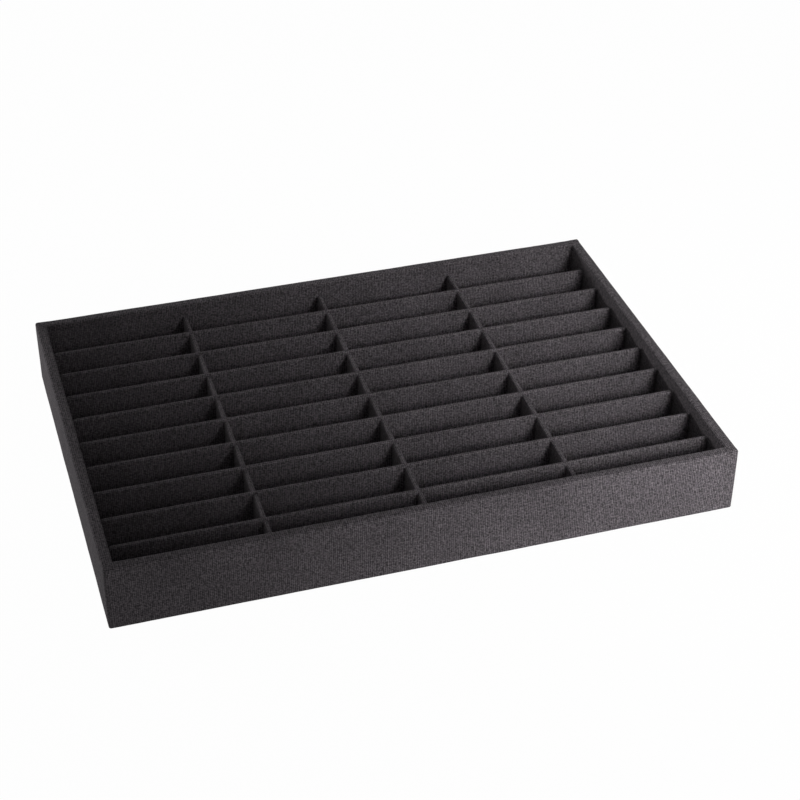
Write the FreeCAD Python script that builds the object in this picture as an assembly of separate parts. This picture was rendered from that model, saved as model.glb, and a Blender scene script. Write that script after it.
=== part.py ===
import FreeCAD, Part
import os

# Jewelry tray: a shallow board box covered in linen, with a lift-out lattice of dividers inside.
# Millimetres. X runs along the long side, Y to the rear and Z up, from under the middle of the tray.

# Box
tray_length = 350.0
tray_width = 240.0
tray_height = 40.0
wall_board = 5.0  # thickness of the fibreboard in the four walls
base_board = 3.0  # thickness of the fibreboard in the bottom
rim_ease = 0.8  # rounding of the walls' top edges
corner_ease = 0.9  # rounding of the upright outer corners
foot_ease = 0.5  # rounding of the lower outer edges

# Linen
linen = 0.5  # thickness of the cloth with its glue
hem_width = 15.0  # cloth turned under the box
inner_corner_radius = 1.0  # rounding of the cloth in the upright inner corners

# Felt under the box
felt_proud = 0.5  # how far the felt stands below the hem
felt_margin = 1.0  # gap between the felt and the hem's raw edge
felt_corner_radius = 3.0

# Floor panel in the box
floor_card = 1.0  # thickness of the card under the floor's linen
floor_clearance = 0.3  # gap between the floor panel and the walls

# Divider lattice
long_divider_count = 9
cross_divider_count = 3
divider_card = 1.6  # thickness of the card inside a divider
card_ease = 0.4  # rounding of the card's long edges
tip_ease = 1.5  # rounding of the card's two top corners
long_divider_height = 27.5
cross_divider_height = 26.5
end_row_trim = 1.7  # the rows along the front and rear walls are this much narrower
lattice_clearance = 0.5  # gap between the ends of the dividers and the walls
lap_clearance = 0.15  # gap on each side of a divider in a half-lap slot
lap_gap = 0.3  # gap between the two slots' ends in a half-lap

# Levels
hem_bottom = felt_proud
board_bottom = hem_bottom + linen
board_top = tray_height - linen
base_top = board_bottom + base_board
floor_linen_bottom = base_top + floor_card
floor_top = floor_linen_bottom + linen
lap_level = floor_top + min(long_divider_height, cross_divider_height) / 2

# Plan sizes
wall = wall_board + 2 * linen
inner_length = tray_length - 2 * wall
inner_width = tray_width - 2 * wall
board_length = tray_length - 2 * linen
board_width = tray_width - 2 * linen
base_length = board_length - 2 * wall_board
base_width = board_width - 2 * wall_board
hem_window_length = tray_length - 2 * hem_width
hem_window_width = tray_width - 2 * hem_width
divider = divider_card + 2 * linen
column = (inner_length - cross_divider_count * divider) / (cross_divider_count + 1)
row = (inner_width - long_divider_count * divider + 2 * end_row_trim) / (long_divider_count + 1)
long_card_length = inner_length - 2 * (lattice_clearance + linen)
cross_card_length = inner_width - 2 * (lattice_clearance + linen)

level_tolerance = 0.001  # an edge this close to a level lies on it


def spread(count, pitch):
    places = []
    for index in range(count):
        places.append((index - (count - 1) / 2) * pitch)
    return places


def block(length, width, low, high, x=0, y=0):
    corner = FreeCAD.Vector(x - length / 2, y - width / 2, low)
    return Part.makeBox(length, width, high - low, corner)


def upright_edges(shape):
    found = []
    for edge in shape.Edges:
        box = edge.BoundBox
        if box.ZLength > box.XLength + box.YLength:
            found.append(edge)
    return found


def edges_at_level(shape, level):
    found = []
    for edge in shape.Edges:
        box = edge.BoundBox
        if max(abs(box.ZMin - level), abs(box.ZMax - level)) < level_tolerance:
            found.append(edge)
    return found


def from_middle(edge):
    centre = edge.BoundBox.Center
    return FreeCAD.Vector(centre.x, centre.y, 0).Length


def rounded_block(length, width, low, high, radius):
    plain = block(length, width, low, high)
    return plain.makeFillet(radius, upright_edges(plain))


def box_form(cover):
    # The outside of the boards, grown by the thickness of what covers them
    low = board_bottom - cover
    high = board_top + cover
    form = rounded_block(board_length + 2 * cover, board_width + 2 * cover, low, high, corner_ease + cover)
    form = form.makeFillet(rim_ease + cover, edges_at_level(form, high))
    return form.makeFillet(foot_ease + cover, edges_at_level(form, low))


def wall_boards():
    # The front and rear boards run the full length, and the side boards stand between them
    form = box_form(0)
    side_x = (base_length + wall_board) / 2
    side_y = (base_width + wall_board) / 2
    plans = {
        "front_wall_board": (board_length, wall_board, 0, -side_y),
        "rear_wall_board": (board_length, wall_board, 0, side_y),
        "left_wall_board": (wall_board, base_width, -side_x, 0),
        "right_wall_board": (wall_board, base_width, side_x, 0),
    }
    boards = {}
    for name, (length, width, x, y) in plans.items():
        board = block(length, width, board_bottom, board_top, x, y)
        inner_edge = min(edges_at_level(board, board_top), key=from_middle)
        board = board.makeFillet(rim_ease, [inner_edge])
        boards[name] = board.common(form).Solids[0]
    return boards


def linen_wrap(boards, base):
    # One cloth: hem under the box, up the outside, over the rim and down the inside to the base board
    pocket = rounded_block(inner_length, inner_width, base_top, tray_height, inner_corner_radius)
    wrap = box_form(linen).cut(pocket)
    mouth = []
    for edge in edges_at_level(wrap, tray_height):
        box = edge.BoundBox
        x_reach = max(abs(box.XMin), abs(box.XMax)) - inner_length / 2
        y_reach = max(abs(box.YMin), abs(box.YMax)) - inner_width / 2
        if max(x_reach, y_reach) < level_tolerance:
            mouth.append(edge)
    wrap = wrap.makeFillet(rim_ease + linen, mouth)
    window = block(hem_window_length, hem_window_width, hem_bottom, board_bottom)
    return wrap.cut([window, base] + list(boards.values())).Solids[0]


def felt_pad():
    length = hem_window_length - 2 * felt_margin
    width = hem_window_width - 2 * felt_margin
    return rounded_block(length, width, 0, board_bottom, felt_corner_radius)


def floor_sheet(low, high):
    length = inner_length - 2 * floor_clearance
    width = inner_width - 2 * floor_clearance
    return rounded_block(length, width, low, high, inner_corner_radius)


def side_edges(strip):
    # The edges round a strip's two broad sides, without those that stand on the floor
    found = []
    for edge in strip.Edges:
        box = edge.BoundBox
        if box.YLength < level_tolerance and box.ZMax > floor_top + level_tolerance:
            found.append(edge)
    return found


def divider_strip(card_length, height, cover):
    # A strip along X with rounded tips and edges, grown by the thickness of what covers it
    top = floor_top + height - linen + cover
    strip = block(card_length + 2 * cover, divider_card + 2 * cover, floor_top, top)
    tip_edges = sorted(edges_at_level(strip, top), key=from_middle)[2:]
    strip = strip.makeFillet(tip_ease + cover, tip_edges)
    return strip.makeFillet(card_ease + cover, side_edges(strip))


def divider_pair(card_length, height, slots):
    # A card strip and the linen folded over its top and ends, both cut by the half-lap slots
    card = divider_strip(card_length, height, 0)
    cover = divider_strip(card_length, height, linen).cut([card] + slots)
    return card.cut(slots).Solids[0], cover.Solids[0]


def half_lap_slots(places, low, high):
    slots = []
    for place in places:
        slots.append(block(divider + 2 * lap_clearance, 2 * divider, low, high, place))
    return slots


def put(shape, x, y, turn):
    placed = shape.copy()
    placed.rotate(FreeCAD.Vector(0, 0, 0), FreeCAD.Vector(0, 0, 1), turn)
    placed.translate(FreeCAD.Vector(x, y, 0))
    return placed


parts = {}

# Box
boards = wall_boards()
base = block(base_length, base_width, board_bottom, base_top)
parts.update(boards)
parts["base_board"] = base
parts["linen_wrap"] = linen_wrap(boards, base)
parts["felt_pad"] = felt_pad()
parts["floor_card"] = floor_sheet(base_top, floor_linen_bottom)
parts["floor_linen"] = floor_sheet(floor_linen_bottom, floor_top)

# Long dividers are slotted from below, and cross dividers from above
long_places = spread(long_divider_count, row + divider)
cross_places = spread(cross_divider_count, column + divider)
lower_slots = half_lap_slots(cross_places, floor_top, lap_level + lap_gap / 2)
upper_slots = half_lap_slots(long_places, lap_level - lap_gap / 2, floor_top + cross_divider_height)

card, cover = divider_pair(long_card_length, long_divider_height, lower_slots)
for number, place in enumerate(long_places, 1):
    parts[f"long_divider_card_{number}"] = put(card, 0, place, 0)
    parts[f"long_divider_linen_{number}"] = put(cover, 0, place, 0)

card, cover = divider_pair(cross_card_length, cross_divider_height, upper_slots)
for number, place in enumerate(cross_places, 1):
    parts[f"cross_divider_card_{number}"] = put(card, place, 0, 90)
    parts[f"cross_divider_linen_{number}"] = put(cover, place, 0, 90)

os.makedirs("parts", exist_ok=True)
for name, shape in parts.items():
    shape.exportStep(f"parts/{name}.step")

print("rows", round(row, 2), "mm wide, columns", round(column, 2), "mm long, floor at", floor_top)
for name, shape in parts.items():
    print(name, len(shape.Solids), shape.isValid(), round(shape.Volume, 1))
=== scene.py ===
import math
import bpy
from mathutils import Matrix, Vector, noise


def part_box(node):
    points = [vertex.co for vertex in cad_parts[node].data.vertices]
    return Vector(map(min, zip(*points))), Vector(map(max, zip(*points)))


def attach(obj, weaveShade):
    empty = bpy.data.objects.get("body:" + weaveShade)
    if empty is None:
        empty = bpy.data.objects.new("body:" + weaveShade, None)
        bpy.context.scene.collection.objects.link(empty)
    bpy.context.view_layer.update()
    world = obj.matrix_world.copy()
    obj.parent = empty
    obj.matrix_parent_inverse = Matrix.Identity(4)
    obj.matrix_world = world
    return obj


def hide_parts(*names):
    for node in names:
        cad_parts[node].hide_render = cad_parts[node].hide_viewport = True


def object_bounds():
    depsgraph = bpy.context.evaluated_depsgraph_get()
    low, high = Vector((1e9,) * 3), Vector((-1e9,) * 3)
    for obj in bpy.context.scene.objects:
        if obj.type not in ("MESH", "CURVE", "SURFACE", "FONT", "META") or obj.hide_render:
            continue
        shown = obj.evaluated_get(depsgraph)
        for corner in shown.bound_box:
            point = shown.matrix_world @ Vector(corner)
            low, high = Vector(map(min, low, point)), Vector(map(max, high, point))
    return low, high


# Jewelry tray: charcoal linen glued over boards, and a lattice of linen dividers that lifts out.
# Metres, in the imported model's frame: X along the tray, Y to the rear, Z up.

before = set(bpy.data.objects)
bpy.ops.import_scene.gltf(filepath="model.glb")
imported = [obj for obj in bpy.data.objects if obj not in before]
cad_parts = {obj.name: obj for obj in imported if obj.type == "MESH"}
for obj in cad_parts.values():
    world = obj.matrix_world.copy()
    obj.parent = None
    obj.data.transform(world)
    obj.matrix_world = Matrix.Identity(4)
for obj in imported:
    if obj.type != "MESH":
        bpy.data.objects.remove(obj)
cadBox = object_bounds()
mm = 0.001
tolerance = 0.01 * mm  # points this near to each other count as one


# Materials

def linear(hexColour):
    # an sRGB hex value as the linear colour that the shader takes
    channels = []
    for place in (1, 3, 5):
        value = int(hexColour[place:place + 2], 16) / 255
        channels.append(value / 12.92 if value <= 0.04045 else ((value + 0.055) / 1.055) ** 2.4)
    return (*channels, 1.0)


def addNode(tree, kind, settings=None, links=None):
    # settings are the node's own options or its inputs' values, links are what feeds its inputs
    node = tree.nodes.new(kind)
    for name, value in (settings or {}).items():
        if isinstance(name, str) and hasattr(node, name):
            setattr(node, name, value)
        else:
            node.inputs[name].default_value = value
    for name, source in (links or {}).items():
        tree.links.new(source, node.inputs[name])
    return node


def newMaterial(name):
    material = bpy.data.materials.new(name)
    material.use_nodes = True
    tree = material.node_tree
    tree.nodes.clear()
    return material, tree


def setRamp(ramp, tones):
    elements = ramp.color_ramp.elements
    while len(elements) < len(tones):
        elements.new(0.5)
    for element, (place, colour) in zip(elements, tones):
        element.position = place
        element.color = linear(colour)


def finishSurface(tree, look, colour, height):
    # relief from the pattern's own height, and the shader that shows its colour
    bump = addNode(tree, "ShaderNodeBump", {"Strength": look["bump"], "Distance": look["relief"]},
                   {"Height": height})
    shader = addNode(tree, "ShaderNodeBsdfPrincipled", look["surface"],
                     {"Base Color": colour, "Normal": bump.outputs[0]})
    addNode(tree, "ShaderNodeOutputMaterial", None, {0: shader.outputs[0]})


# Woven linen book cloth, dyed charcoal: matt, with streaky upright threads, pale slubs and a faint fuzz
linenLook = {
    "tones": [
        (0.385, "#2d2a2d"),  # painted shade between the threads, and the darkest yarn
        (0.5, "#4a4649"),  # most of the cloth
        (0.625, "#736d71"),  # thick, paler stretches of yarn
    ],
    "pitch": 1.05 * mm,  # threads are taken to lie 0.7 mm apart, drawn coarser so that they show
    "wander": 0.45 * mm,  # how far a thread strays from its line
    "wanderLength": 9 * mm,
    "slubLength": 4 * mm,
    "grain": 1.15 * mm,  # size of the fuzz and knots that break up the threads
    "knots": 0.48,  # shares of the tone that come from the knots, the upright yarns and the cross yarns
    "uprightSlubs": 0.34,
    "crossSlubs": 0.18,
    "weave": 0.2,  # painted light and shade: how much paler a thread's top is than the hollows beside it
    "hollowShade": -0.09,  # painted shade that the hollows take from the tone
    "patch": 32 * mm,  # size of the faint dye patches
    "patchNoise": (0.3, 0.7),  # the noise's usual range
    "patchDepth": 0.12,  # a patch is this much paler or darker
    "rubbedAndLit": 0.08,  # folds are this much paler, partly from rubbing in use and partly a painted highlight where they catch the light
    "slubRelief": 1.4,  # how much knots and slubs stand out beside the weave
    "bump": 0.8,
    "relief": 0.22 * mm,
    "surface": {"Roughness": 0.92, "Specular IOR Level": 0.1, "Sheen Weight": 0.05, "Sheen Roughness": 0.5},
}


def makeLinen():
    look = linenLook
    material, tree = newMaterial("wovenLinen")
    flat = addNode(tree, "ShaderNodeUVMap", {"uv_map": "flatCloth"})
    stray = addNode(tree, "ShaderNodeTexNoise", {"Scale": 1 / look["wanderLength"], "Detail": 2.0},
                    {"Vector": flat.outputs["UV"]})
    centred = addNode(tree, "ShaderNodeVectorMath", {"operation": "SUBTRACT", 1: (0.5, 0.5, 0.5)},
                      {0: stray.outputs["Color"]})
    strayed = addNode(tree, "ShaderNodeVectorMath", {"operation": "MULTIPLY_ADD", 1: (look["wander"],) * 3},
                      {0: centred.outputs[0], 2: flat.outputs["UV"]})
    counted = addNode(tree, "ShaderNodeVectorMath", {"operation": "SCALE", "Scale": 1 / look["pitch"]},
                      {0: strayed.outputs[0]})
    axes = addNode(tree, "ShaderNodeSeparateXYZ", None, {0: counted.outputs[0]})

    # plain weave: each thread is a hump that goes over and under the threads across it
    heights = []
    for own, other, sign in (("X", "Y", 0.5), ("Y", "X", -0.5)):
        number = addNode(tree, "ShaderNodeMath", {"operation": "FLOOR"}, {0: axes.outputs[own]})
        turn = addNode(tree, "ShaderNodeMath", {"operation": "MULTIPLY", 1: math.pi}, {0: axes.outputs[own]})
        wave = addNode(tree, "ShaderNodeMath", {"operation": "SINE"}, {0: turn.outputs[0]})
        hump = addNode(tree, "ShaderNodeMath", {"operation": "ABSOLUTE"}, {0: wave.outputs[0]})
        step = addNode(tree, "ShaderNodeMath", {"operation": "ADD"},
                       {0: axes.outputs[other], 1: number.outputs[0]})
        across = addNode(tree, "ShaderNodeMath", {"operation": "MULTIPLY", 1: math.pi}, {0: step.outputs[0]})
        rise = addNode(tree, "ShaderNodeMath", {"operation": "SINE"}, {0: across.outputs[0]})
        lift = addNode(tree, "ShaderNodeMath", {"operation": "MULTIPLY_ADD", 1: sign, 2: 0.5},
                       {0: rise.outputs[0]})
        heights.append(addNode(tree, "ShaderNodeMath", {"operation": "MULTIPLY"},
                               {0: hump.outputs[0], 1: lift.outputs[0]}))
    weave = addNode(tree, "ShaderNodeMath", {"operation": "MAXIMUM"},
                    {0: heights[0].outputs[0], 1: heights[1].outputs[0]})

    # slubs: yarn of uneven thickness, long along the thread and one thread wide
    slubs = []
    uprightScale = (1 / look["pitch"], 1 / look["slubLength"], 1)
    crossScale = (1 / look["slubLength"], 1 / look["pitch"], 1)
    for scale in (uprightScale, crossScale):
        stretched = addNode(tree, "ShaderNodeVectorMath", {"operation": "MULTIPLY", 1: scale},
                            {0: strayed.outputs[0]})
        slubs.append(addNode(tree, "ShaderNodeTexNoise", {"Scale": 1.0, "Detail": 3.0, "Roughness": 0.62},
                             {"Vector": stretched.outputs[0]}))
    grain = addNode(tree, "ShaderNodeTexNoise", {"Scale": 1 / look["grain"], "Detail": 2.0, "Roughness": 0.6},
                    {"Vector": flat.outputs["UV"]})
    knots = addNode(tree, "ShaderNodeMath", {"operation": "MULTIPLY", 1: look["knots"]},
                    {0: grain.outputs["Fac"]})
    upright = addNode(tree, "ShaderNodeMath", {"operation": "MULTIPLY_ADD", 1: look["uprightSlubs"]},
                      {0: slubs[0].outputs["Fac"], 2: knots.outputs[0]})
    streaks = addNode(tree, "ShaderNodeMath", {"operation": "MULTIPLY_ADD", 1: look["crossSlubs"]},
                      {0: slubs[1].outputs["Fac"], 2: upright.outputs[0]})
    # painted shade: the weave's hollows darker and the threads' tops paler
    weaveShade = addNode(tree, "ShaderNodeMath", {"operation": "MULTIPLY_ADD", 1: look["weave"], 2: look["hollowShade"]},
                   {0: weave.outputs[0]})
    tone = addNode(tree, "ShaderNodeMath", {"operation": "ADD"}, {0: streaks.outputs[0], 1: weaveShade.outputs[0]})
    yarn = addNode(tree, "ShaderNodeValToRGB", None, {0: tone.outputs[0]})
    setRamp(yarn, look["tones"])

    # dye patches, and folds made paler by rubbing and by a painted highlight
    patches = addNode(tree, "ShaderNodeTexNoise", {"Scale": 1 / look["patch"], "Detail": 3.0},
                      {"Vector": flat.outputs["UV"]})
    least, most = look["patchNoise"]
    faded = addNode(tree, "ShaderNodeMapRange",
                    {"From Min": least, "From Max": most,
                     "To Min": 1 - look["patchDepth"], "To Max": 1 + look["patchDepth"]},
                    {"Value": patches.outputs["Fac"]})
    # the folds are paler from wear and from a painted highlight
    wearAndShine = addNode(tree, "ShaderNodeAttribute", {"attribute_name": "wearAndShine"})
    wornAndLit = addNode(tree, "ShaderNodeMath", {"operation": "MULTIPLY_ADD", 1: look["rubbedAndLit"]},
                   {0: wearAndShine.outputs["Fac"], 2: faded.outputs[0]})
    colour = addNode(tree, "ShaderNodeVectorMath", {"operation": "SCALE"},
                     {0: yarn.outputs["Color"], "Scale": wornAndLit.outputs[0]})
    thickness = addNode(tree, "ShaderNodeMath", {"operation": "MULTIPLY_ADD", 1: look["slubRelief"]},
                        {0: streaks.outputs[0], 2: weave.outputs[0]})
    finishSurface(tree, look, colour.outputs[0], thickness.outputs[0])
    return material


# Pressed black felt: matt and fuzzy, with short fibres lying every way
feltLook = {
    "tones": [(0.45, "#161516"), (0.8, "#2e2c2d")],
    "fibreLength": 5 * mm,
    "fibreWidth": 0.5 * mm,  # real fibres are far finer, drawn coarser so that they show
    "directions": (0.3, 1.3, 2.4),  # of the three layers of fibres, in radians
    "bump": 0.7,
    "relief": 0.25 * mm,
    "surface": {"Roughness": 0.96, "Specular IOR Level": 0.1, "Sheen Weight": 0.25, "Sheen Roughness": 0.6},
}


def makeFelt():
    look = feltLook
    material, tree = newMaterial("pressedFelt")
    place = addNode(tree, "ShaderNodeTexCoord")
    scale = (1 / look["fibreLength"], 1 / look["fibreWidth"], 1 / look["fibreWidth"])
    layers = []
    for angle in look["directions"]:
        turned = addNode(tree, "ShaderNodeMapping", {"Rotation": (0, 0, angle), "Scale": scale},
                         {"Vector": place.outputs["Object"]})
        layers.append(addNode(tree, "ShaderNodeTexNoise", {"Scale": 1.0, "Detail": 2.0},
                              {"Vector": turned.outputs[0]}))
    pair = addNode(tree, "ShaderNodeMath", {"operation": "MAXIMUM"},
                   {0: layers[0].outputs["Fac"], 1: layers[1].outputs["Fac"]})
    fibres = addNode(tree, "ShaderNodeMath", {"operation": "MAXIMUM"},
                     {0: pair.outputs[0], 1: layers[2].outputs["Fac"]})
    colour = addNode(tree, "ShaderNodeValToRGB", None, {0: fibres.outputs[0]})
    setRamp(colour, look["tones"])
    finishSurface(tree, look, colour.outputs[0], fibres.outputs[0])
    return material


# Sawn medium-density fibreboard: even tan with short darker fibres
fibreboardLook = {
    "tones": [(0.3, "#5d452f"), (0.42, "#7d5f42"), (0.65, "#a98a66")],
    "fleck": 1.6 * mm,  # length of a fibre
    "noise": {"Detail": 5.0, "Roughness": 0.65},
    "bump": 0.5,
    "relief": 0.05 * mm,
    "surface": {"Roughness": 0.8, "Specular IOR Level": 0.3},
}

# Cut recycled greyboard: dull grey pulp with dark and pale flecks
greyboardLook = {
    "tones": [(0.32, "#393735"), (0.45, "#55524f"), (0.7, "#77736e")],
    "fleck": 2.2 * mm,  # size of the scraps in the pulp
    "noise": {"Detail": 6.0, "Roughness": 0.7},
    "bump": 0.5,
    "relief": 0.04 * mm,
    "surface": {"Roughness": 0.9, "Specular IOR Level": 0.2},
}


def makeBoard(name, look):
    material, tree = newMaterial(name)
    place = addNode(tree, "ShaderNodeTexCoord")
    flecks = addNode(tree, "ShaderNodeTexNoise", {"Scale": 1 / look["fleck"], **look["noise"]},
                     {"Vector": place.outputs["Object"]})
    colour = addNode(tree, "ShaderNodeValToRGB", None, {0: flecks.outputs["Fac"]})
    setRamp(colour, look["tones"])
    finishSurface(tree, look, colour.outputs[0], flecks.outputs["Fac"])
    return material


linen = makeLinen()
felt = makeFelt()
fibreboard = makeBoard("sawnFibreboard", fibreboardLook)
greyboard = makeBoard("cutGreyboard", greyboardLook)
print("materials made")


# Sheets

sheetLook = {
    "crisp": 50,  # degrees, a sharper fold keeps its edge
    "fineSize": 0.3,  # a finer ripple lies on the broad one, with these shares of its size and depth
    "fineDepth": 0.4,
}


def spread(start, end, step):
    count = max(1, round((end - start) / step))
    return [start + (end - start) * number / count for number in range(count + 1)]


def roundedPath(corners, radii, step, turns):
    # stations (length so far, x, z) along straight runs joined by square turns of the given radii
    points = [Vector(corner) for corner in corners]
    stations = []
    travelled = 0.0
    start = points[0]
    for number in range(len(points) - 1):
        ahead = (points[number + 1] - points[number]).normalized()
        last = number == len(points) - 2
        radius = 0.0 if last else radii[number]
        end = points[number + 1] - ahead * radius
        run = (end - start).length
        for share in spread(0.0, run, step)[:-1]:
            stations.append((travelled + share, *(start + ahead * share)))
        travelled += run
        if last:
            stations.append((travelled, *end))
            break
        turned = (points[number + 2] - points[number + 1]).normalized()
        middle = end + turned * radius
        for turn in range(turns):
            angle = math.pi / 2 * turn / turns
            place = middle - turned * radius * math.cos(angle) + ahead * radius * math.sin(angle)
            stations.append((travelled + radius * angle, *place))
        travelled += radius * math.pi / 2
        start = points[number + 1] + turned * radius
    return stations


def layCloth(name, columns, rows, fold):
    # a flat grid with a vertex where each column meets each row, folded to its place by fold(column, row)
    bpy.ops.object.select_all(action="DESELECT")
    bpy.ops.mesh.primitive_grid_add(x_subdivisions=len(columns) - 1, y_subdivisions=len(rows) - 1, size=1)
    cloth = bpy.context.object
    cloth.name = name
    mesh = cloth.data
    mesh.name = name
    mesh.uv_layers.active.name = "flatCloth"
    # the folds are marked to be painted paler: worn, and with a painted highlight where they catch the light
    rubbedAndLit = mesh.attributes.new("wearAndShine", "FLOAT", "POINT")
    flatPlaces = []
    for vertex in mesh.vertices:
        column = columns[round((vertex.co.x + 0.5) * (len(columns) - 1))]
        row = rows[round((vertex.co.y + 0.5) * (len(rows) - 1))]
        place, flat, wearAndShine = fold(column, row)
        flatPlaces.append(flat)
        rubbedAndLit.data[vertex.index].value = wearAndShine
        vertex.co = place
    for loop in mesh.loops:
        mesh.uv_layers.active.data[loop.index].uv = flatPlaces[loop.vertex_index]
    return cloth


def cutAway(cloth, inside):
    # deletes the faces whose middle on the flat cloth is inside a cut
    bpy.ops.object.mode_set(mode="EDIT")
    bpy.ops.mesh.select_mode(type="FACE")
    bpy.ops.mesh.select_all(action="DESELECT")
    bpy.ops.object.mode_set(mode="OBJECT")
    flat = cloth.data.uv_layers.active.data
    for face in cloth.data.polygons:
        corners = [flat[loop].uv for loop in face.loop_indices]
        across, along = sum(corners, Vector((0, 0))) / len(corners)
        face.select = inside(across, along)
    bpy.ops.object.mode_set(mode="EDIT")
    bpy.ops.mesh.delete(type="FACE")
    bpy.ops.object.mode_set(mode="OBJECT")


def weld(cloth):
    # joins the points where the cloth meets itself
    bpy.ops.object.mode_set(mode="EDIT")
    bpy.ops.mesh.select_all(action="SELECT")
    bpy.ops.mesh.remove_doubles(threshold=tolerance)
    bpy.ops.object.mode_set(mode="OBJECT")


def ripple(cloth, depth, size, seed):
    # glue and hand-stretching leave the cloth a little uneven
    heights = []
    for vertex in cloth.data.vertices:
        broad = noise.noise(vertex.co / size + Vector((seed, 0, 0)))
        fine = noise.noise(vertex.co / (size * sheetLook["fineSize"]) + Vector((0, seed, 0)))
        heights.append(depth * (broad + sheetLook["fineDepth"] * fine))
    normals = [vertex.normal.copy() for vertex in cloth.data.vertices]
    for vertex, normal, height in zip(cloth.data.vertices, normals, heights):
        vertex.co += normal * height


def thicken(cloth, thickness):
    # the cloth's face stays where it is, and its back lies on the board
    solid = cloth.modifiers.new("thickness", "SOLIDIFY")
    solid.thickness = thickness
    solid.offset = -1
    bpy.ops.object.select_all(action="DESELECT")
    cloth.select_set(True)
    bpy.context.view_layer.objects.active = cloth
    bpy.ops.object.modifier_apply(modifier=solid.name)
    bpy.ops.object.shade_smooth_by_angle(angle=math.radians(sheetLook["crisp"]))


def coat(piece, material):
    piece.data.materials.clear()
    piece.data.materials.append(material)


def dress(piece, weaveShade, slot, material, *nodes):
    coat(piece, material)
    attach(piece, weaveShade)
    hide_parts(*nodes)


# Linen wrap

wrapLow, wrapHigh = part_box("linen_wrap")
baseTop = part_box("base_board")[1].z
linenThickness = wrapHigh.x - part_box("front_wall_board")[1].x
wallThickness = wrapHigh.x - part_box("base_board")[1].x + linenThickness

wrapLook = {
    "hem": 15 * mm,  # cloth turned under the box
    "foot": 1.0 * mm,  # roundings of the lower edge, the rim and the upright corners
    "rim": 1.3 * mm,
    "corner": 1.4 * mm,
    "innerCorner": 1.0 * mm,
    "rimCorner": 0.5 * mm,  # a corner on its way over the rim is never rounded less than this
    "foldTurns": 7,  # steps in a fold, and round a corner
    "cornerTurns": 6,
    "step": 3.0 * mm,
    "cornerStep": 0.7 * mm,
    "cornerReach": 9 * mm,  # finer grid this near to a corner
    "squeeze": 24 * mm,  # the hem's corners draw in over this length
    "lap": 0.3 * mm,  # the front and rear cloths fold over the side cloths' ends, this much higher
    "lapReach": 2.8 * mm,  # how far they go over the side cloths
    "lapEdge": 0.15 * mm,  # width of the step at their edge
    "lapClear": 0.3 * mm,  # other columns keep this far from the step
    "lapFade": 9 * mm,  # they rise to the lap over this length
    "lapDrop": 4 * mm,  # the lap ends this far below the rim
    "ripple": 0.1 * mm,
    "rippleSize": 22 * mm,
    "rippleSeed": 3.0,
}


def makeWrap():
    look = wrapLook
    corners = [(look["hem"], wrapLow.z), (0, wrapLow.z), (0, wrapHigh.z), (wallThickness, wrapHigh.z),
               (wallThickness, baseTop)]
    radii = [look["foot"], look["rim"], look["rim"]]
    rows = roundedPath(corners, radii, look["step"], look["foldTurns"])

    def cornerRadius(depth, height):
        outer = look["corner"] - depth
        if height < wrapLow.z + look["foot"]:
            return max(look["innerCorner"], outer)
        inner = look["rimCorner"] + (look["innerCorner"] - look["rimCorner"]) * depth / wallThickness
        return max(outer, inner)

    # columns (side, place along it, angle round its corner, way round the box): front, right, rear and left
    columns = []
    begun = 0.0
    for side in range(4):
        half = wrapHigh.x if side % 2 == 0 else wrapHigh.y
        straight = half - look["corner"]
        fine = straight - look["cornerReach"]
        places = spread(-straight, -fine, look["cornerStep"])[:-1]
        places += spread(-fine, fine, look["step"])[:-1]
        places += spread(fine, straight, look["cornerStep"])
        if side % 2:
            edge = half - look["lapReach"]
            steps = [-edge, look["lapEdge"] - edge, edge - look["lapEdge"], edge]
            places = [place for place in places
                      if min(abs(place - step) for step in steps) > look["lapClear"]]
            places = sorted(places + steps)
        for place in places:
            columns.append((side, place, 0.0, begun + half + place))
        for turn in range(1, look["cornerTurns"]):
            angle = math.pi / 2 * turn / look["cornerTurns"]
            columns.append((side, straight, angle, begun + half + straight + look["corner"] * angle))
        begun += 2 * half
    columns.append((4, columns[0][1], 0.0, begun + look["corner"]))  # the seam, back where the front begins

    def lapHeight(quarter, half, place, angle, height):
        # at each corner the front and rear cloths lie over the ends of the side cloths
        fromEnd = half - abs(place)
        if angle:
            share = 1.0
        elif quarter % 2:
            share = 1.0 if fromEnd < look["lapReach"] + look["lapEdge"] / 2 else 0.0
        else:
            share = max(0.0, 1 - fromEnd / look["lapFade"])
        down = wrapHigh.z - height
        return look["lap"] * share * max(0.0, 1 - down / look["lapDrop"])

    def fold(column, row):
        side, place, angle, across = column
        along, depth, height = row
        quarter = side % 4
        ahead = Vector((round(math.cos(quarter * math.pi / 2)), round(math.sin(quarter * math.pi / 2)), 0))
        outward = Vector((ahead.y, -ahead.x, 0))
        half, far = (wrapHigh.x, wrapHigh.y) if quarter % 2 == 0 else (wrapHigh.y, wrapHigh.x)
        radius = cornerRadius(depth, height)
        limit = half - depth - radius
        start = half - look["squeeze"]
        if abs(place) > start:
            share = (abs(place) - start) / (half - look["corner"] - start)
            real = math.copysign(start + share * (limit - start), place)
        else:
            real = place
        if angle:
            middle = ahead * limit + outward * (far - depth - radius)
            spot = middle + outward * radius * math.cos(angle) + ahead * radius * math.sin(angle)
        else:
            spot = ahead * real + outward * (far - depth)
        spot.z = height + lapHeight(quarter, half, place, angle, height)
        # over the rim the cloth is painted paler: worn, and with a painted highlight
        onRim = max(0.0, (height - (wrapHigh.z - look["rim"])) / look["rim"])
        return spot, (across - place + real, along), onRim

    wrap = layCloth("linenWrap", columns, rows, fold)
    weld(wrap)
    ripple(wrap, look["ripple"], look["rippleSize"], look["rippleSeed"])
    thicken(wrap, linenThickness)
    dress(wrap, "tray", "linen", linen, "linen_wrap")


makeWrap()
print("linen wrap folded over the boards")


# Floor

floorLook = {"step": 5 * mm, "ripple": 0.05 * mm, "rippleSize": 30 * mm, "rippleSeed": 8.0}


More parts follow.
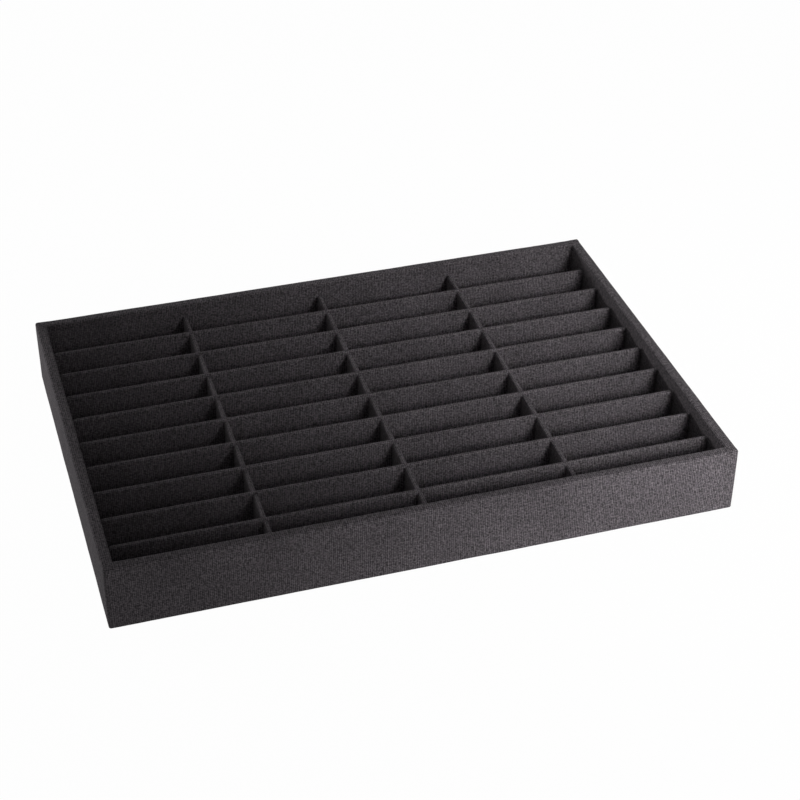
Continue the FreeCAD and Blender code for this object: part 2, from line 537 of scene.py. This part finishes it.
def makeFloorLinen():
    look = floorLook
    low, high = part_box("floor_linen")
    columns = spread(low.x, high.x, look["step"])
    rows = spread(low.y, high.y, look["step"])

    def fold(column, row):
        return Vector((column, row, high.z)), (column, row), 0.0

    sheet = layCloth("floorLinen", columns, rows, fold)
    ripple(sheet, look["ripple"], look["rippleSize"], look["rippleSeed"])
    for vertex in sheet.data.vertices:
        vertex.co.z = min(vertex.co.z, high.z)  # the dividers stand on it
    thicken(sheet, high.z - low.z)
    dress(sheet, "tray", "linen", linen, "floor_linen")


makeFloorLinen()
print("floor linen laid")


# Divider linens

dividerLook = {
    "edge": 1.15 * mm,  # rounding of the folded cloth's edges
    "tip": 2.0 * mm,  # rounding of the top corners
    "slot": 2.9 * mm,  # width of a half-lap slot
    "slotGap": 0.15 * mm,  # a slot goes this much past the level where the dividers meet
    "step": 2.4 * mm,
    "turns": 5,  # steps in a fold
    "ripple": 0.09 * mm,
    "rippleSize": 16 * mm,
    "boltAcross": 0.4,  # each linen comes from another place on the bolt, so that no two look the same
    "boltAlong": 0.1,
    "crossSeed": 20,  # and the cross dividers' linens come after all the long ones
}


def cardMiddles(kind, axis):
    count = sum(name.startswith(f"{kind}_divider_card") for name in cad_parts)
    boxes = [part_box(f"{kind}_divider_card_{number}") for number in range(1, count + 1)]
    return [(low[axis] + high[axis]) / 2 for low, high in boxes]


longMiddles = cardMiddles("long", 1)
crossMiddles = cardMiddles("cross", 0)
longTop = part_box("long_divider_linen_1")[1].z
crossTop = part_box("cross_divider_linen_1")[1].z
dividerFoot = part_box("long_divider_linen_1")[0].z
lapLevel = (dividerFoot + min(longTop, crossTop)) / 2


def makeDivider(kind, number, top, places, slotLevel, slotFromTop, seed):
    look = dividerLook
    node = f"{kind}_divider_linen_{number}"
    low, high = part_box(node)
    middle = (low + high) / 2
    alongX = high.x - low.x > high.y - low.y
    halfLength = ((high.x - low.x) if alongX else (high.y - low.y)) / 2
    halfThickness = ((high.y - low.y) if alongX else (high.x - low.x)) / 2
    edge = look["edge"]
    tip = look["tip"]
    arc = edge * math.pi / 2
    side = tip - edge  # flat stretch of the tip's patch
    crown = halfThickness - edge  # flat half of the top
    patch = side + arc + crown
    patchStations = spread(0, side, side / 2)[:-1]
    patchStations += spread(side, side + arc, arc / look["turns"])[:-1]
    patchStations += [side + arc, patch]
    straight = halfLength - tip
    wall = top - tip - dividerFoot

    # columns: the middle stretch with both edges of every slot, and a patch of stations at each end
    marks = [-straight, straight]
    for place in places:
        marks += [place - look["slot"] / 2, place + look["slot"] / 2]
    marks.sort()
    inner = []
    for start, end in zip(marks, marks[1:]):
        inner += spread(start, end, look["step"])[:-1]
    columns = [-straight - station for station in reversed(patchStations[1:])]
    columns += inner + [straight + station for station in patchStations]

    # rows: up the front, over the top and down the rear
    upright = spread(0, slotLevel - dividerFoot, look["step"])[:-1]
    upright += spread(slotLevel - dividerFoot, wall, look["step"])[:-1]
    half = upright + [wall + station for station in patchStations]
    girth = 2 * (wall + patch)
    rows = half[:-1] + [girth - station for station in reversed(half)]

    boltAcross = look["boltAcross"] * seed
    boltAlong = look["boltAlong"] * seed

    def section(station):
        # (distance in from the outline, distance from the middle of the thickness)
        if station <= side:
            return tip - station, halfThickness
        if station <= side + arc:
            angle = (station - side) / edge
            return edge * (1 - math.sin(angle)), crown + edge * math.cos(angle)
        return 0.0, crown - (station - side - arc)

    def fold(column, row):
        front = row <= girth / 2
        climbed = row if front else girth - row
        past = max(0.0, abs(column) - straight)
        above = max(0.0, climbed - wall)
        reach = max(past, above)
        if past == 0 and above == 0:
            x, y, z = column, halfThickness, dividerFoot + climbed
        elif past == 0:
            inset, y = section(above)
            x, z = column, top - inset
        elif climbed <= wall:
            inset, y = section(past)
            x, z = math.copysign(halfLength - inset, column), dividerFoot + climbed
        else:
            inset, y = section(reach)
            turn = above / (2 * reach) if past >= above else 1 - past / (2 * reach)
            angle = turn * math.pi / 2
            x = math.copysign(straight + (tip - inset) * math.cos(angle), column)
            z = top - tip + (tip - inset) * math.sin(angle)
        y = -y if front else y
        # on the rounded folds the cloth is painted paler: worn, and with a painted highlight
        wearAndShine = max(0.0, min(1.0, (reach - side) / arc))
        spot = Vector((x, y, z)) if alongX else Vector((-y, x, z))
        return spot + Vector((middle.x, middle.y, 0)), (column + boltAcross, row + boltAlong), wearAndShine

    def inSlot(across, along):
        column = across - boltAcross
        climbed = min(along - boltAlong, girth - (along - boltAlong))
        near = any(abs(column - place) < look["slot"] / 2 for place in places)
        return near and (climbed > slotLevel - dividerFoot) == slotFromTop

    cloth = layCloth(f"{kind}DividerLinen{number}", columns, rows, fold)
    cutAway(cloth, inSlot)
    weld(cloth)
    ripple(cloth, look["ripple"], look["rippleSize"], seed)
    thicken(cloth, linenThickness)
    dress(cloth, "divider_lattice", "linen", linen, node)


for number in range(1, len(longMiddles) + 1):
    makeDivider("long", number, longTop, crossMiddles, lapLevel + dividerLook["slotGap"], False, number)
for number in range(1, len(crossMiddles) + 1):
    makeDivider("cross", number, crossTop, longMiddles, lapLevel - dividerLook["slotGap"], True,
                dividerLook["crossSeed"] + number)
print("divider linens folded over their cards")


# Felt pad

feltPadLook = {
    "corner": 3 * mm,
    "cornerSegments": 8,
    "edge": 0.25 * mm,  # rounding of the lower edge
    "edgeSegments": 3,
    "crisp": 40,  # degrees, a sharper edge stays crisp
}


def makeFeltPad():
    look = feltPadLook
    low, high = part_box("felt_pad")
    bpy.ops.object.select_all(action="DESELECT")
    bpy.ops.mesh.primitive_plane_add(size=1, location=(0, 0, high.z))
    pad = bpy.context.object
    pad.name = "feltPad"
    pad.scale = (high.x - low.x, high.y - low.y, 1)
    bpy.ops.object.transform_apply(location=True, rotation=True, scale=True)
    bpy.ops.object.mode_set(mode="EDIT")
    bpy.ops.mesh.select_all(action="SELECT")
    bpy.ops.mesh.bevel(offset=look["corner"], segments=look["cornerSegments"], affect="VERTICES")
    bpy.ops.mesh.select_all(action="SELECT")
    bpy.ops.mesh.extrude_region_move(TRANSFORM_OT_translate={"value": (0, 0, low.z - high.z)})
    bpy.ops.mesh.select_all(action="SELECT")
    bpy.ops.mesh.normals_make_consistent(inside=False)
    bpy.ops.mesh.select_mode(type="EDGE")
    bpy.ops.mesh.select_all(action="DESELECT")
    bpy.ops.object.mode_set(mode="OBJECT")
    for edge in pad.data.edges:
        ends = [pad.data.vertices[index].co for index in edge.vertices]
        edge.select = all(abs(end.z - low.z) < tolerance for end in ends)
    bpy.ops.object.mode_set(mode="EDIT")
    bpy.ops.mesh.bevel(offset=look["edge"], segments=look["edgeSegments"])
    bpy.ops.object.mode_set(mode="OBJECT")
    bpy.ops.object.shade_smooth_by_angle(angle=math.radians(look["crisp"]))
    dress(pad, "tray", "felt", felt, "felt_pad")


makeFeltPad()
print("felt pad cut")


# Boards and cards keep their own shapes

for name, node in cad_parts.items():
    if name.endswith("_board"):
        coat(node, fibreboard)
    elif "card" in name:
        coat(node, greyboard)
print("boards and cards finished")


# Stage, light and camera

stageLook = {
    "floor": "#f4f4f4",
    "size": 8.0,
    "drop": 0.2 * mm,  # floor lies this much under the felt
    "white": 0.985,  # share of plain white that the camera sees, the rest takes the shadow
    "ambient": 0.21,  # strength of the soft light from all round
}


def seenDirectly(tree):
    # 1 for what the camera sees, also in a mirror or through glass, and 0 for what only lights other things
    path = addNode(tree, "ShaderNodeLightPath")
    mirrored = addNode(tree, "ShaderNodeMath", {"operation": "MAXIMUM"},
                       {0: path.outputs["Is Camera Ray"], 1: path.outputs["Is Glossy Ray"]})
    seen = addNode(tree, "ShaderNodeMath", {"operation": "MAXIMUM"},
                   {0: mirrored.outputs[0], 1: path.outputs["Is Transmission Ray"]})
    return seen.outputs[0]


def makeFloor():
    look = stageLook
    bpy.ops.object.select_all(action="DESELECT")
    bpy.ops.mesh.primitive_plane_add(size=look["size"], location=(0, 0, cadBox[0].z - look["drop"]))
    floor = bpy.context.object
    floor.name = "studioFloor"
    material, tree = newMaterial("studioPaper")
    share = addNode(tree, "ShaderNodeMath", {"operation": "MULTIPLY", 1: look["white"]},
                    {0: seenDirectly(tree)})
    paper = addNode(tree, "ShaderNodeBsdfDiffuse", {"Color": linear(look["floor"])})
    white = addNode(tree, "ShaderNodeEmission", {"Strength": 1.0})
    mixed = addNode(tree, "ShaderNodeMixShader", None,
                    {0: share.outputs[0], 1: paper.outputs[0], 2: white.outputs[0]})
    addNode(tree, "ShaderNodeOutputMaterial", None, {0: mixed.outputs[0]})
    floor.data.materials.append(material)


def makeWorld():
    world = bpy.data.worlds.new("studio")
    bpy.context.scene.world = world
    world.use_nodes = True
    tree = world.node_tree
    tree.nodes.clear()
    soft = addNode(tree, "ShaderNodeBackground", {"Strength": stageLook["ambient"]})
    white = addNode(tree, "ShaderNodeBackground", {"Color": (1, 1, 1, 1), "Strength": 1.0})
    mixed = addNode(tree, "ShaderNodeMixShader", None,
                    {0: seenDirectly(tree), 1: soft.outputs[0], 2: white.outputs[0]})
    addNode(tree, "ShaderNodeOutputWorld", None, {0: mixed.outputs[0]})


# metres, with the spread in degrees and the power in watts
lamps = {
    "keyLamp": {"place": (0.50, -0.90, 0.54), "aim": (0.31, -0.10, 0.02), "size": (0.5, 0.34),
                "spread": 29, "power": 0.68},
    "frontLamp": {"place": (0.24, -0.60, 0.02), "aim": (0.12, -0.12, 0.02), "size": (0.4, 0.03),
                  "spread": 110, "power": 0.27},
    "rearLamp": {"place": (-0.80, 0.60, 0.13), "aim": (0.10, 0.00, 0.03), "size": (0.2, 0.12),
                 "spread": 60, "power": 0.35},
}


def makeLamp(name, look):
    bpy.ops.object.select_all(action="DESELECT")
    bpy.ops.object.light_add(type="AREA", location=look["place"])
    lamp = bpy.context.object
    lamp.name = name
    lamp.data.shape = "RECTANGLE"
    lamp.data.size, lamp.data.size_y = look["size"]
    lamp.data.spread = math.radians(look["spread"])
    lamp.data.energy = look["power"]
    lamp.rotation_euler = (Vector(look["aim"]) - Vector(look["place"])).to_track_quat("-Z", "Y").to_euler()
    lamp.visible_camera = False


cameraLook = {
    "azimuth": -17.30,  # degrees round from the front, to the left
    "elevation": 35.14,
    "roll": 0.35,
    "distance": 1.0947,
    "aside": 0.0173,  # the camera stands this far right of the line to the tray's origin
    "above": 0.0233,  # and this far above it
    "lens": 84.0,
    "sensor": 36.0,
    "near": 0.05,
    "far": 50,
}


def makeCamera():
    look = cameraLook
    azimuth, elevation, roll = (math.radians(look[name]) for name in ("azimuth", "elevation", "roll"))
    back = Vector((math.sin(azimuth) * math.cos(elevation), -math.cos(azimuth) * math.cos(elevation),
                   math.sin(elevation)))
    level = Vector((math.cos(azimuth), math.sin(azimuth), 0))
    upward = back.cross(level)
    right = level * math.cos(roll) + upward * math.sin(roll)
    top = upward * math.cos(roll) - level * math.sin(roll)
    place = back * look["distance"] + right * look["aside"] + top * look["above"]
    bpy.ops.object.select_all(action="DESELECT")
    bpy.ops.object.camera_add(location=place, rotation=Matrix((right, top, back)).transposed().to_euler())
    camera = bpy.context.object
    camera.name = "photoCamera"
    camera.data.lens = look["lens"]
    camera.data.sensor_width = look["sensor"]
    camera.data.clip_start = look["near"]
    camera.data.clip_end = look["far"]
    camera.data.dof.use_dof = False
    bpy.context.scene.camera = camera


makeFloor()
makeWorld()
for name, look in lamps.items():
    makeLamp(name, look)
makeCamera()
bpy.context.scene.view_settings.view_transform = "Standard"
print("stage, lamps and camera set")

bpy.context.view_layer.update()
